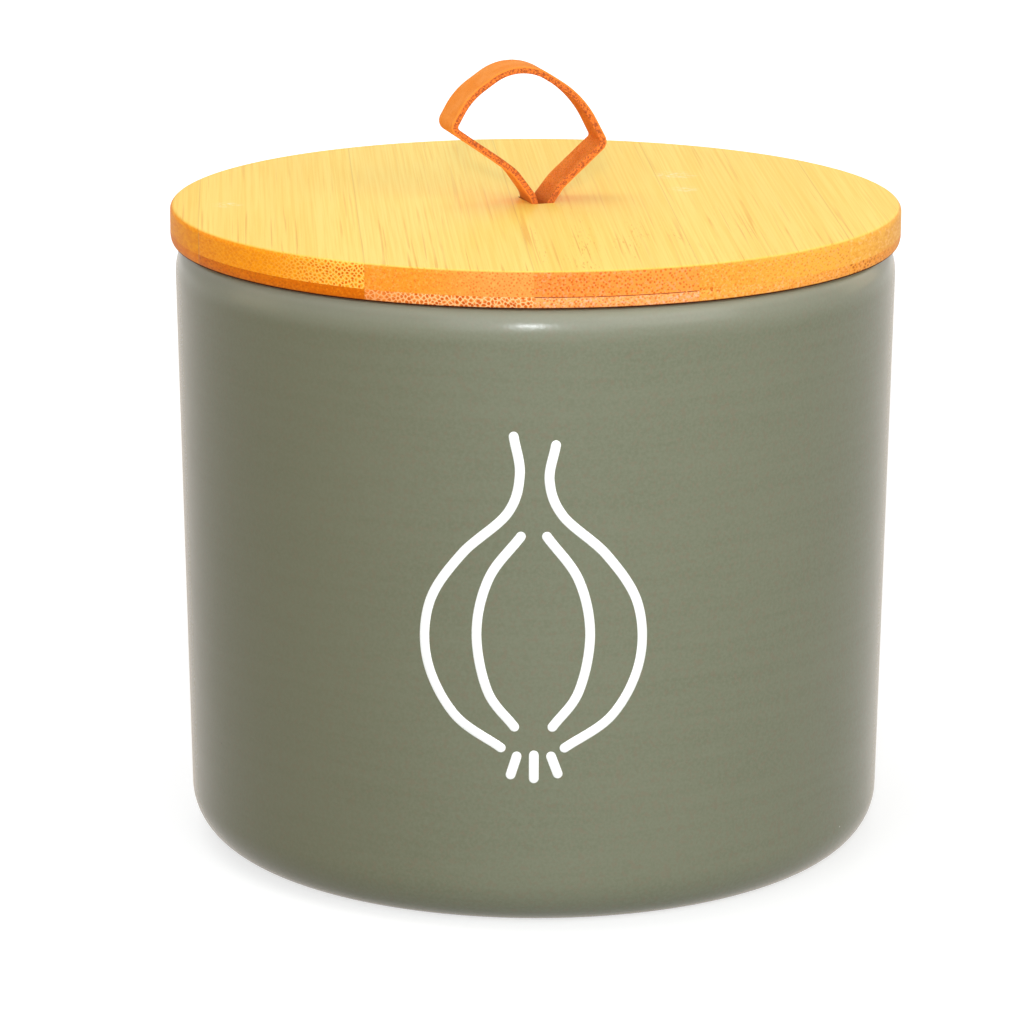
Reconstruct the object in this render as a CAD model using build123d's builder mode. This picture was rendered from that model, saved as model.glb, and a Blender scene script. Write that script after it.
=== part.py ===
"""Stoneware garlic keeper with a laminated bamboo lid and a leather lifting loop.

The jar stands on its foot ring. The origin is the bottom centre, +Z is up and -Y is the front.
Everything is in millimetres.
"""

import os
from math import cos, degrees, radians, sin, sqrt

from build123d import *

# ---------------------------------------------------------------- stoneware jar
jar_height = 105.3        # foot ring to rim
jar_rim_radius = 61.7     # outside, at the top of the slightly flared wall
jar_base_radius = 60.1    # outside, where the wall meets the heel
rim_wall = 5.8            # the wall's thickness at the rim
base_wall = 4.2           # and at the ground, so that the bore is straight
jar_floor = 6.0
heel_round = 9.0          # outside rounding from the wall into the foot
well_bevel = 4.7          # inside, between the wall and the floor
rim_round = 3.4           # outside rounding of the rim
rim_bevel = 1.0           # inside the rim
foot_ring_width = 7.0     # unglazed ring that the jar stands on
foot_recess = 1.5         # depth of the recess inside that ring
heel_flats = 4            # short flats that make up each rounding
rim_flats = 2

# Air holes through the back wall
vent_diameter = 7.0
vent_pitch = 18.0         # between neighbours in a row, along the wall
vent_row_pitch = 9.0
vent_rows = (2, 1, 2)     # holes in each row, from the bottom up
vent_height = 62.0        # middle row

# ---------------------------------------------------------------- bamboo lid
lid_overhang = 0.8        # beyond the jar's rim
upper_ply = 4.15
lower_ply = 2.05
upper_edge_bevel = 0.6    # along the face's rim
lower_edge_bevel = 0.5    # along the underside's rim
grain_turn = 3.8          # degrees from the front-to-back line
full_staves = 4           # of equal width, between the two edge staves
left_edge_stave = 5.0     # how far the edge staves reach in from the rim
right_edge_stave = 13.2

# Plug under the lid, laid up across the lid's grain
plug_thickness = 9.0
plug_play = 2.2           # radial gap to the jar's bore
plug_staves = 5           # of equal width
plug_edge_bevel = 1.0

# Silicone ring in the plug's groove
groove_depth = 2.5
groove_height = 4.6
groove_above = 1.9        # plug wood left between the groove and the lid
seal_core_play = 0.05     # the ring's bore round the groove's floor
fin_thickness = 1.3       # of each fin at its root
fin_gap = 0.3             # fin tips to the jar's bore

# ---------------------------------------------------------------- leather strap
strap_width = 7.4
strap_thickness = 1.2
strap_turn = 20.0         # degrees that the loop's plane is turned from the front
leg_gap = 1.45            # between the two legs, in the slot
slot_end_play = 0.3       # past each edge of the strap
swing_gap = 0.32          # between the loop's rounded root and what it swings past
root_proud = 0.08         # root rounding beyond the legs' outer faces
leg_rise = 0.35           # straight leg above the pivot

# The loop's centreline above the lid, as (along the loop's plane, height over the lid's face)
left_knee = (-4.95, 5.75)
left_corner = (-16.1, 13.65)
left_shoulder = (-13.2, 18.75)
crown = (-3.95, 25.0)
right_shoulder = (7.4, 18.0)
right_corner = (11.6, 9.9)
root_bend = 1.5
knee_bend = 9.0
corner_bend = 1.2
left_arch_bend = 12.0
crown_bend = 9.0
right_arch_bend = 18.0

# Tails, folded out under the plug
tail_length = 13.0        # from the leg to the tail's end
tail_fold = 1.45          # radius of the fold, at the strap's centreline
pocket_depth = 4.0
pocket_end_play = 0.5
fold_relief = 0.35        # the wood's edge is rounded this much more than the fold

# Broad-headed screws that hold the tails
screw_offset = 8.0        # from the leg, along the tail
screw_diameter = 2.6
screw_grip = 4.5          # length in the wood
screw_head_diameter = 6.4
screw_head_height = 1.8
screw_play = 0.05         # round the shank


def bore_radius(height):
    """The jar's inside radius at this height, between the outer wall less its two thicknesses."""
    ground = jar_base_radius - base_wall
    rim = jar_rim_radius - rim_wall
    return ground + (rim - ground) * height / jar_height


def quarter_round(centre_radius, centre_height, radius, first_angle, flats):
    """Points of a section's rounded corner, anticlockwise from this angle in degrees."""
    angles = [radians(first_angle + 90 * k / flats) for k in range(flats + 1)]
    return [(centre_radius + radius * cos(a), centre_height + radius * sin(a)) for a in angles]


# ---------------------------------------------------------------- derived places
lid_radius = jar_rim_radius + lid_overhang
lid_bottom = jar_height
ply_joint = lid_bottom + lower_ply
lid_top = ply_joint + upper_ply
plug_bottom = lid_bottom - plug_thickness
groove_top = lid_bottom - groove_above
groove_bottom = groove_top - groove_height

floor_top = foot_recess + jar_floor
foot_inner_radius = jar_base_radius - heel_round - foot_ring_width
plug_radius = min(bore_radius(plug_bottom), bore_radius(lid_bottom)) - plug_play
groove_radius = plug_radius - groove_depth
fin_radius = min(bore_radius(groove_bottom), bore_radius(groove_top)) - fin_gap

slot_half = leg_gap / 2 + strap_thickness
slot_length = strap_width + 2 * slot_end_play
leg_offset = (leg_gap + strap_thickness) / 2
root_radius = slot_half + root_proud
pivot_rise = sqrt((root_radius + swing_gap) ** 2 - slot_half**2)
leg_top = pivot_rise + leg_rise

pocket_ceiling = plug_bottom + pocket_depth
pocket_half = leg_offset + tail_length + pocket_end_play
tail_bottom = pocket_ceiling - strap_thickness
screw_reach = leg_offset + screw_offset
fold_edge_round = tail_fold - strap_thickness / 2 + fold_relief

strap_along = (cos(radians(strap_turn)), sin(radians(strap_turn)), 0)
strap_across = (-sin(radians(strap_turn)), cos(radians(strap_turn)), 0)
strap_front = (sin(radians(strap_turn)), -cos(radians(strap_turn)), 0)
# Looking at the loop's face: local x runs along it and local y is height over the lid
strap_plane = Plane(origin=(0, 0, lid_top), x_dir=strap_along, z_dir=strap_front)


def across_grain(height, turn):
    """A level plane whose local x runs across strips laid at this turn."""
    x_dir = (cos(radians(turn)), sin(radians(turn)), 0)
    return Plane(origin=(0, 0, height), x_dir=x_dir, z_dir=(0, 0, 1))


def level_plane(height):
    """A level plane turned with the strap."""
    return Plane(origin=(0, 0, height), x_dir=strap_along, z_dir=(0, 0, 1))


def save(part, name):
    """Label a finished piece and write it to its own file."""
    part.label = name
    export_step(part, f"parts/{name}.step")


os.makedirs("parts", exist_ok=True)

# ---------------------------------------------------------------- jar
with BuildPart() as stoneware_jar:
    with BuildSketch(Plane.XZ):
        with BuildLine():
            Polyline(
                (0, foot_recess),
                (foot_inner_radius, foot_recess),
                (foot_inner_radius, 0),
                *quarter_round(jar_base_radius - heel_round, heel_round, heel_round, -90, heel_flats),
                *quarter_round(jar_rim_radius - rim_round, jar_height - rim_round, rim_round, 0, rim_flats),
                (bore_radius(jar_height) + rim_bevel, jar_height),
                (bore_radius(jar_height - rim_bevel), jar_height - rim_bevel),
                (bore_radius(floor_top + well_bevel), floor_top + well_bevel),
                (bore_radius(floor_top) - well_bevel, floor_top),
                (0, floor_top),
                close=True,
            )
        make_face()
    revolve(axis=Axis.Z)
    # Air holes, drilled square to the wall and centred on the back
    hole_step = degrees(vent_pitch / jar_rim_radius)
    for row, holes in enumerate(vent_rows):
        row_height = vent_height + (row - (len(vent_rows) - 1) / 2) * vent_row_pitch
        first_hole = 90 - (holes - 1) / 2 * hole_step
        with Locations((0, 0, row_height)):
            with PolarLocations(bore_radius(row_height), holes, first_hole, holes * hole_step):
                Cylinder(
                    vent_diameter / 2,
                    4 * rim_wall,
                    rotation=(0, 90, 0),
                    mode=Mode.SUBTRACT,
                )
save(stoneware_jar.part, "stoneware_jar")

# ---------------------------------------------------------------- lid plies
first_joint = left_edge_stave - lid_radius
stave_width = (2 * lid_radius - left_edge_stave - right_edge_stave) / full_staves
joints = [first_joint + stave_width * k for k in range(full_staves + 1)]
bounds = [-1.2 * lid_radius] + joints + [1.2 * lid_radius]

for number, (left, right) in enumerate(zip(bounds, bounds[1:]), start=1):
    with BuildPart() as upper_stave:
        with BuildSketch(Plane.XY.offset(ply_joint)):
            Circle(lid_radius)
        extrude(amount=upper_ply)
        chamfer(upper_stave.edges().sort_by(Axis.Z)[-1], length=upper_edge_bevel)
        with BuildSketch(across_grain(ply_joint, grain_turn)):
            with Locations(((left + right) / 2, 0)):
                Rectangle(right - left, 3 * lid_radius)
        extrude(amount=upper_ply, mode=Mode.INTERSECT)
        with BuildSketch(level_plane(ply_joint)):
            Rectangle(2 * slot_half, slot_length)
        extrude(amount=upper_ply, mode=Mode.SUBTRACT)
    save(upper_stave.part, f"upper_stave_{number}")

    with BuildPart() as lower_stave:
        with BuildSketch(Plane.XY.offset(lid_bottom)):
            Circle(lid_radius)
        extrude(amount=lower_ply)
        chamfer(lower_stave.edges().sort_by(Axis.Z)[0], length=lower_edge_bevel)
        with BuildSketch(across_grain(lid_bottom, grain_turn)):
            with Locations(((left + right) / 2, 0)):
                Rectangle(right - left, 3 * lid_radius)
        extrude(amount=lower_ply, mode=Mode.INTERSECT)
        with BuildSketch(level_plane(lid_bottom)):
            Rectangle(2 * slot_half, slot_length)
        extrude(amount=lower_ply, mode=Mode.SUBTRACT)
    save(lower_stave.part, f"lower_stave_{number}")

# ---------------------------------------------------------------- plug
plug_stave_width = 2 * plug_radius / plug_staves
plug_joints = [plug_stave_width * k - plug_radius for k in range(1, plug_staves)]
plug_bounds = [-1.2 * plug_radius] + plug_joints + [1.2 * plug_radius]

for number, (front, back) in enumerate(zip(plug_bounds, plug_bounds[1:]), start=1):
    with BuildPart() as plug_stave:
        with BuildSketch(Plane.XY.offset(plug_bottom)):
            Circle(plug_radius)
        extrude(amount=plug_thickness)
        chamfer(plug_stave.edges().sort_by(Axis.Z)[0], length=plug_edge_bevel)
        # Groove for the seal
        with BuildSketch(Plane.XY.offset(groove_bottom)):
            Circle(1.1 * plug_radius)
            Circle(groove_radius, mode=Mode.SUBTRACT)
        extrude(amount=groove_height, mode=Mode.SUBTRACT)
        with BuildSketch(across_grain(plug_bottom, grain_turn + 90)):
            with Locations(((front + back) / 2, 0)):
                Rectangle(back - front, 3 * plug_radius)
        extrude(amount=plug_thickness, mode=Mode.INTERSECT)
        # Slot and pocket for the strap's tails, with an eased edge where they fold
        with BuildSketch(strap_plane) as strap_cut:
            with Locations((0, pocket_ceiling - lid_top)):
                Rectangle(2 * slot_half, lid_top - pocket_ceiling, align=(Align.CENTER, Align.MIN))
                Rectangle(2 * pocket_half, pocket_depth, align=(Align.CENTER, Align.MAX))
            ceiling_corners = strap_cut.vertices().filter_by_position(
                Axis.Y, pocket_ceiling - lid_top - 0.1, pocket_ceiling - lid_top + 0.1
            )
            fillet(ceiling_corners.sort_by(Axis.X)[1:3], radius=fold_edge_round)
        extrude(amount=slot_length / 2, both=True, mode=Mode.SUBTRACT)
        # Holes for the tail screws
        with BuildSketch(level_plane(pocket_ceiling)):
            with Locations((-screw_reach, 0), (screw_reach, 0)):
                Circle(screw_diameter / 2 + screw_play)
        extrude(amount=screw_grip, mode=Mode.SUBTRACT)
    save(plug_stave.part, f"plug_stave_{number}")

# ---------------------------------------------------------------- seal
seal_bore = groove_radius + seal_core_play
with BuildPart() as silicone_seal:
    with BuildSketch(Plane.XZ):
        with BuildLine():
            Polyline(
                (seal_bore, groove_bottom),
                (fin_radius, groove_bottom),
                (plug_radius, groove_bottom + fin_thickness),
                (plug_radius, groove_top - fin_thickness),
                (fin_radius, groove_top),
                (seal_bore, groove_top),
                close=True,
            )
        make_face()
    revolve(axis=Axis.Z)
save(silicone_seal.part, "silicone_seal")

# ---------------------------------------------------------------- strap
with BuildPart() as strap_loop:
    with BuildLine(strap_plane) as loop_path:
        FilletPolyline(
            (-leg_offset, -leg_top),
            (-leg_offset, leg_top),
            left_knee,
            left_corner,
            left_shoulder,
            crown,
            right_shoulder,
            right_corner,
            (leg_offset, leg_top),
            (leg_offset, -leg_top),
            radius=[
                root_bend,
                knee_bend,
                corner_bend,
                left_arch_bend,
                crown_bend,
                right_arch_bend,
                corner_bend,
                root_bend,
            ],
        )
    with BuildSketch(Plane(origin=loop_path.line @ 0, x_dir=strap_across, z_dir=(0, 0, 1))):
        Rectangle(strap_width, strap_thickness)
    sweep()
    # The legs end on a cylinder round the pivot, so that the loop can lean without touching the lid
    with BuildSketch(strap_plane):
        with Locations((0, pivot_rise)):
            Rectangle(4 * slot_half, 3 * leg_top, align=(Align.CENTER, Align.MAX))
            Circle(root_radius, mode=Mode.SUBTRACT)
    extrude(amount=strap_width, both=True, mode=Mode.SUBTRACT)
save(strap_loop.part, "strap_loop")

for side, name in ((-1, "strap_tail_left"), (1, "strap_tail_right")):
    with BuildPart() as strap_tail:
        fold_level = tail_bottom + strap_thickness / 2 - lid_top
        with BuildLine(strap_plane) as tail_path:
            FilletPolyline(
                (side * leg_offset, leg_top),
                (side * leg_offset, fold_level),
                (side * (leg_offset + tail_length), fold_level),
                radius=tail_fold,
            )
        with BuildSketch(Plane(origin=tail_path.line @ 0, x_dir=strap_across, z_dir=(0, 0, -1))):
            Rectangle(strap_width, strap_thickness)
        sweep()
        # Clear of the loop's rounded root
        with BuildSketch(strap_plane):
            with Locations((0, pivot_rise)):
                Circle(root_radius + swing_gap)
        extrude(amount=strap_width, both=True, mode=Mode.SUBTRACT)
        with BuildSketch(level_plane(tail_bottom)):
            with Locations((side * screw_reach, 0)):
                Circle(screw_diameter / 2 + screw_play)
        extrude(amount=strap_thickness, mode=Mode.SUBTRACT)
    save(strap_tail.part, name)

# ---------------------------------------------------------------- screws
with BuildPart() as tail_screws:
    with BuildSketch(level_plane(tail_bottom - screw_head_height)):
        with Locations((-screw_reach, 0), (screw_reach, 0)):
            Circle(screw_head_diameter / 2)
    extrude(amount=screw_head_height)
    with BuildSketch(level_plane(tail_bottom)):
        with Locations((-screw_reach, 0), (screw_reach, 0)):
            Circle(screw_diameter / 2)
    extrude(amount=strap_thickness + screw_grip)
save(tail_screws.part, "tail_screws")
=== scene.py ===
"""A stoneware garlic keeper: its glaze, bamboo, leather, silicone and steel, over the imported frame.

Sizes are in millimetres unless a name says otherwise, and MM turns them into Blender's metres.
The jar stands at the origin with +Z up, and its front is -Y.
"""

from math import acos, cos, degrees, pi, radians, sin, sqrt, tan

import bmesh
import bpy
from mathutils import Matrix, Vector


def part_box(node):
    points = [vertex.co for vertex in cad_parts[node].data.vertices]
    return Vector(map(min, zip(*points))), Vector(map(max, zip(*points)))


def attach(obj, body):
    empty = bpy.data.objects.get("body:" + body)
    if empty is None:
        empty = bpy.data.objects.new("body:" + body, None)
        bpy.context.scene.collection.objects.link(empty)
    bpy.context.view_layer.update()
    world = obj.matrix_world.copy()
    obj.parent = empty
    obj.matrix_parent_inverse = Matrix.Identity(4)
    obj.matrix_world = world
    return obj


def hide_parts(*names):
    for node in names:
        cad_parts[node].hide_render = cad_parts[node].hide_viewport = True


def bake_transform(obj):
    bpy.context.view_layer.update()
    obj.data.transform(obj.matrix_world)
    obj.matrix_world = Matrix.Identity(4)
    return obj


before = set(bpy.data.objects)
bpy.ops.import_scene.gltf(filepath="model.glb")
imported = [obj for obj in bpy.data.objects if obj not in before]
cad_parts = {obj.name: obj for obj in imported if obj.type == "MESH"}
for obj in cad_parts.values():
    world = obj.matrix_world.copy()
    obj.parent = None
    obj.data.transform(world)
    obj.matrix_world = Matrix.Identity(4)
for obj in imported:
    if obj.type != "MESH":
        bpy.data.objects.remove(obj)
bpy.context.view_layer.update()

MM = 0.001

# ---- sizes


def frame_box(node):
    """A CAD node's lowest and highest corners, in millimetres."""
    low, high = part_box(node)
    return low / MM, high / MM


jar_low, jar_high = frame_box("stoneware_jar")
upper_low, upper_high = frame_box("upper_stave_4")
plug_low, plug_high = frame_box("plug_stave_3")
seal_low, seal_high = frame_box("silicone_seal")
screw_low, screw_high = frame_box("tail_screws")

WALL_FLARE = 1.6
RIM_WALL = 5.8
JAR_HEIGHT = jar_high.z
JAR_RIM_RADIUS = (jar_high.x - jar_low.x) / 2
JAR_BASE_RADIUS = JAR_RIM_RADIUS - WALL_FLARE
BORE_RADIUS = JAR_RIM_RADIUS - RIM_WALL
FLOOR_TOP = 7.5
HEEL_ROUND = 9.0
WELL_ROUND = 8.0
RIM_ROUND_IN = 2.8
RIM_ROUND_DOWN = 5.5
RIM_EDGE_ROUND = 1.0
FOOT_RING_WIDTH = 7.0
FOOT_RECESS = 1.5
FOOT_EDGE_ROUND = 0.6
FOOT_INNER_RADIUS = JAR_BASE_RADIUS - HEEL_ROUND - FOOT_RING_WIDTH

VENT_RADIUS = 3.5
VENT_PITCH = 18.0
VENT_ROW_PITCH = 9.0
VENT_ROWS = (2, 1, 2)
VENT_HEIGHT = 62.0
VENT_EDGE_ROUND = 1.0
CUTTER_PAST = 3.0
CUTTER_WIDER = 1.2

LID_RADIUS = (upper_high.y - upper_low.y) / 2
LID_TOP = upper_high.z
PLY_JOINT = upper_low.z
LID_BOTTOM = JAR_HEIGHT
GRAIN_TURN = 3.8
LEFT_EDGE_STAVE = 5.0
RIGHT_EDGE_STAVE = 13.2
FULL_STAVES = 4
SLOT_STAVE = 4
TOP_EDGE_ROUND = 0.9
BOTTOM_EDGE_IN = 0.6
BOTTOM_EDGE_UP = 1.5
# How far in from an edge the level faces' first points lie
JOINT_MARGIN = 0.2
TOP_MARGIN = 0.1
BOTTOM_MARGIN = 0.8
PLUG_TOP_MARGIN = 0.5

PLUG_PLAY = 2.2
PLUG_RADIUS = BORE_RADIUS - PLUG_PLAY
PLUG_BOTTOM = plug_low.z
PLUG_STAVES = 5
PLUG_SLOT_STAVE = 3
PLUG_EDGE_ROUND = 1.0
GROOVE_DEPTH = 2.5
GROOVE_RADIUS = PLUG_RADIUS - GROOVE_DEPTH
GROOVE_BOTTOM = seal_low.z
GROOVE_TOP = seal_high.z
SEAL_PLAY = 0.05
FIN_RADIUS = (seal_high.x - seal_low.x) / 2
FIN_LIP_ROUND = 0.35
FIN_ROOT = 1.4
FIN_FILLET_OUT = 0.5
FIN_FILLET_DOWN = 1.0

STRAP_TURN = 20.0
STRAP_WIDTH = 7.4
STRAP_THICKNESS = 1.2
STRAP_EDGE_ROUND = 0.2
LEG_OFFSET = 1.325
SLOT_WIDTH = 3.85
SLOT_LENGTH = 7.5
TAIL_LENGTH = 13.0
TAIL_FOLD = 1.45
POCKET_DEPTH = 4.0
POCKET_PLAY = 0.5
POCKET_HALF = LEG_OFFSET + TAIL_LENGTH + POCKET_PLAY
TAIL_BOTTOM = PLUG_BOTTOM + POCKET_DEPTH - STRAP_THICKNESS

SCREW_OFFSET = 8.0
SCREW_REACH = LEG_OFFSET + SCREW_OFFSET
SCREW_HEAD_RADIUS = 3.2
SCREW_HEAD_HEIGHT = TAIL_BOTTOM - screw_low.z
# The head's dome, as a radius and a height over its lowest point
SCREW_DOME = [(0.0, 0.0), (0.9, 0.02), (1.9, 0.12), (2.7, 0.42), (3.05, 0.8)]
SCREW_RIM_HEIGHT = 0.7
SCREW_RIM_ROUND = 0.15
SHANK_RADIUS = 1.3
SHANK_LENGTH = 4.6
SCREW_LENGTH = 5.4
CROSS_HALF_LENGTH = 1.6
CROSS_HALF_WIDTH = 0.3
CROSS_DEPTH = 1.1
CROSS_FLOOR_SHARE = 0.45

strap_along = Vector((cos(radians(STRAP_TURN)), sin(radians(STRAP_TURN)), 0))
strap_across = Vector((-sin(radians(STRAP_TURN)), cos(radians(STRAP_TURN)), 0))


# ---- mesh tools


def quarter(centre_radius, centre_height, half_width, half_height, first, last, steps=8):
    """Section points of a rounded corner, between two angles in degrees."""
    angles = [radians(first + (last - first) * k / steps) for k in range(steps + 1)]
    return [(centre_radius + half_width * cos(a), centre_height + half_height * sin(a)) for a in angles]


def mesh_object(name, points, faces, sharp=40.0, layers=None):
    """A smooth-shaded object from points in millimetres; edges sharper than this angle stay sharp.
    layers holds named values for each point."""
    mesh = bpy.data.meshes.new(name)
    mesh.from_pydata([Vector(p) * MM for p in points], [], faces)
    for layer, values in (layers or {}).items():
        attribute = mesh.attributes.new(layer, "FLOAT", "POINT")
        attribute.data.foreach_set("value", values)
    made = bpy.data.objects.new(name, mesh)
    bpy.context.scene.collection.objects.link(made)
    clean(made, sharp)
    return made


def clean(piece, sharp=40.0):
    """Merges doubled points, drops faces with no area and turns every face outwards."""
    work = bmesh.new()
    work.from_mesh(piece.data)
    bmesh.ops.remove_doubles(work, verts=work.verts, dist=0.0005 * MM)
    bmesh.ops.dissolve_degenerate(work, dist=0.0002 * MM, edges=work.edges)
    bmesh.ops.recalc_face_normals(work, faces=work.faces)
    work.to_mesh(piece.data)
    work.free()
    piece.data.polygons.foreach_set("use_smooth", [True] * len(piece.data.polygons))
    piece.data.set_sharp_from_angle(angle=radians(sharp))


def bridge(rings, closed_ends=False):
    """Quads between neighbouring rings of equally many points, numbered from 0."""
    count = len(rings[0])
    faces = []
    for i in range(len(rings) if closed_ends else len(rings) - 1):
        here, there = i * count, (i + 1) % len(rings) * count
        for k in range(count):
            n = (k + 1) % count
            faces.append((here + k, here + n, there + n, there + k))
    return faces


def skin(name, rings, sharp=40.0, capped=False, closed_ends=False, layers=None):
    """A body over rings of points. capped puts a face on its first and last ring."""
    faces = bridge(rings, closed_ends)
    if capped:
        count, last = len(rings[0]), (len(rings) - 1) * len(rings[0])
        faces += [tuple(range(count)), tuple(range(last, last + count))]
    return mesh_object(name, [p for ring in rings for p in ring], faces, sharp, layers)


def lathe(name, section, segments=256, closed=False):
    """A body turned about the vertical axis. section is (radius, height) points, a loop if closed."""
    turn = [2 * pi * k / segments for k in range(segments)]
    rings = [[(radius * cos(a), radius * sin(a), height) for a in turn] for radius, height in section]
    return skin(name, rings, closed_ends=closed)


def disc_strip(name, section, left, right, turn, arc_step=0.8):
    """The part of a turned disc between two lines along the grain.
    section is the disc's edge, (radius, height) from the bottom up; left and right are the lines'
    places across the grain, or None at the disc's own edge."""
    widest = max(radius for radius, _ in section)

    def angle(place, radius, end):
        return end if place is None else acos(max(-1, min(1, place / radius)))

    span = angle(left, widest, pi) - angle(right, widest, 0)
    steps = max(12, int(span * widest / arc_step))
    rings = []
    for radius, height in section:
        first, last = angle(right, radius, 0), angle(left, radius, pi)
        turns = [first + (last - first) * k / steps for k in range(steps + 1)]
        back = [(radius * cos(a), radius * sin(a), height) for a in turns]
        front = [(x, -y, z) for x, y, z in reversed(back)]
        rings.append(back + front)
    count = 2 * (steps + 1)
    faces = bridge(rings)
    for start in (0, (len(rings) - 1) * count):
        for k in range(steps):
            faces.append((start + k, start + k + 1, start + count - 2 - k, start + count - 1 - k))
    spin = Matrix.Rotation(radians(turn), 3, "Z")
    points = [spin @ Vector(p) for ring in rings for p in ring]
    return mesh_object(name, points, faces, 35.0)


def prism(name, outline, half_depth):
    """A solid that runs across the strap's plane. outline is (along, height) points in a loop."""
    rings = []
    for side in (-1, 1):
        shift = strap_across * side * half_depth
        rings.append([strap_along * u + shift + Vector((0, 0, w)) for u, w in outline])
    return skin(name, rings, capped=True)


def cut(piece, *cutters):
    """Takes the cutters out of the piece for good, and removes them."""
    for cutter in cutters:
        step = piece.modifiers.new("cut", "BOOLEAN")
        step.object = cutter
        step.operation = "DIFFERENCE"
        step.solver = "EXACT"
    graph = bpy.context.evaluated_depsgraph_get()
    result = bpy.data.meshes.new_from_object(piece.evaluated_get(graph))
    piece.modifiers.clear()
    piece.data = result
    for cutter in cutters:
        bpy.data.objects.remove(cutter)
    clean(piece, 35.0)


def rounded_path(corners, bends, arc_steps=14, run_steps=6):
    """Points along a line with rounded corners. Every corner and run has equally many points."""
    corners = [Vector(c) for c in corners]
    path = []
    start = corners[0]
    for before, corner, after, bend in zip(corners, corners[1:], corners[2:], bends):
        incoming, outgoing = (before - corner).normalized(), (after - corner).normalized()
        half = acos(max(-1, min(1, incoming.dot(outgoing)))) / 2
        reach = bend / tan(half)
        middle = corner + (incoming + outgoing).normalized() * bend / sin(half)
        first, last = corner + incoming * reach, corner + outgoing * reach
        path += [start.lerp(first, k / run_steps) for k in range(run_steps)]
        for k in range(arc_steps):
            path.append(middle + (first - middle).slerp(last - middle, k / arc_steps) * bend)
        start = last
    path += [start.lerp(corners[-1], k / run_steps) for k in range(run_steps + 1)]
    return path


# ---- shader tools


def colour(red, green, blue):
    """A colour given as the eye sees it, 0 to 255, for a shader."""
    parts = [c / 255 for c in (red, green, blue)]
    return [c / 12.92 if c <= 0.04045 else ((c + 0.055) / 1.055) ** 2.4 for c in parts] + [1.0]


def tinted(tone, *shares):
    """A shader's colour with its red, green and blue each multiplied by a share."""
    return [part * share for part, share in zip(tone, shares)] + [1.0]


class Shading:
    """A material and short ways to add its nodes."""

    def __init__(self, name, roughness=0.5, **settings):
        self.material = bpy.data.materials.new(name)
        self.material.use_nodes = True
        self.tree = self.material.node_tree
        self.bsdf = self.tree.nodes["Principled BSDF"]
        self.bsdf.inputs["Roughness"].default_value = roughness
        for key, value in settings.items():
            self.bsdf.inputs[key.replace("_", " ")].default_value = value

    def add(self, kind, inputs=None, **settings):
        """A node whose inputs are plain values or other nodes' outputs."""
        made = self.tree.nodes.new("ShaderNode" + kind)
        for key, value in settings.items():
            setattr(made, key, value)
        for key, value in (inputs or {}).items():
            self.plug(made.inputs[key], value)
        return made

    def plug(self, socket, value):
        if isinstance(value, bpy.types.NodeSocket):
            self.tree.links.new(value, socket)
        else:
            socket.default_value = value

    def maths(self, operation, first, second=0.0, clamp=False):
        made = self.add("Math", {0: first, 1: second}, operation=operation, use_clamp=clamp)
        return made.outputs[0]

    def product(self, *values):
        total = values[0]
        for value in values[1:]:
            total = self.maths("MULTIPLY", total, value)
        return total

    def ramp(self, value, start, rise):
        """start where the value is 0, and rise more where it is 1."""
        return self.maths("ADD", start, self.maths("MULTIPLY", value, rise))

    def vector(self, operation, first, second):
        return self.add("VectorMath", {0: first, 1: second}, operation=operation).outputs[0]

    def length(self, vector):
        return self.add("VectorMath", {0: vector}, operation="LENGTH").outputs["Value"]

    def mix(self, factor, first, second):
        made = self.add("Mix", data_type="RGBA")
        for index, value in ((0, factor), (6, first), (7, second)):
            self.plug(made.inputs[index], value)
        return made.outputs[2]

    def wash(self, under, over, *masks):
        """The colour over laid on the colour under, as strongly as the masks' product says."""
        return self.mix(self.product(*masks), under, over)

    def fade(self, value, low, high):
        """0 below low, 1 above high and smooth between; low may be the larger."""
        if low > high:
            return self.maths("SUBTRACT", 1.0, self.fade(value, high, low))
        inputs = {"Value": value, "From Min": low, "From Max": high}
        return self.add("MapRange", inputs, interpolation_type="SMOOTHSTEP").outputs[0]

    def noise(self, place, scale, detail=2.0, roughness=0.5, output="Fac"):
        inputs = {"Vector": place, "Scale": scale, "Detail": detail, "Roughness": roughness}
        return self.add("TexNoise", inputs).outputs[output]

    def cells(self, place, scale, randomness=1.0, dimensions="3D", feature="F1"):
        inputs = {"Vector": place, "Scale": scale, "Randomness": randomness}
        return self.add("TexVoronoi", inputs, voronoi_dimensions=dimensions, feature=feature).outputs

    def place(self, turn=0.0):
        """The surface's place in millimetres, turned about the vertical so that x is across the grain."""
        spot = self.add("TexCoord").outputs["Object"]
        inputs = {"Vector": spot, "Rotation": (0, 0, -radians(turn)), "Scale": (1 / MM, 1 / MM, 1 / MM)}
        return self.add("Mapping", inputs).outputs[0]

    def split(self, vector):
        return self.add("SeparateXYZ", {0: vector}).outputs

    def join(self, x, y, z):
        return self.add("CombineXYZ", {0: x, 1: y, 2: z}).outputs[0]

    def bump(self, height, distance_mm, strength=1.0, below=None):
        inputs = {"Height": height, "Distance": distance_mm * MM, "Strength": strength}
        if below is not None:
            inputs["Normal"] = below
        return self.add("Bump", inputs).outputs[0]

    def finish(self, base, normal, roughness=None):
        self.plug(self.bsdf.inputs["Base Color"], base)
        self.plug(self.bsdf.inputs["Normal"], normal)
        if roughness is not None:
            self.plug(self.bsdf.inputs["Roughness"], roughness)
        return self.material


# ---- glaze

GLAZE_BODY = colour(104, 108, 86), colour(114, 116, 95)
THROWN = colour(120, 122, 102)
MOTTLE = colour(120, 123, 103)
RUSTY = colour(122, 109, 90)
PAINTED_LEFT_SHADE = colour(99, 95, 68)
THIN_GLAZE_AND_PAINTED_LIGHT = colour(160, 160, 144)
PAINTED_LIGHT_UNDER_LID = colour(184, 188, 170)
BARE_CLAY = colour(206, 190, 162), colour(176, 158, 130)
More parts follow.
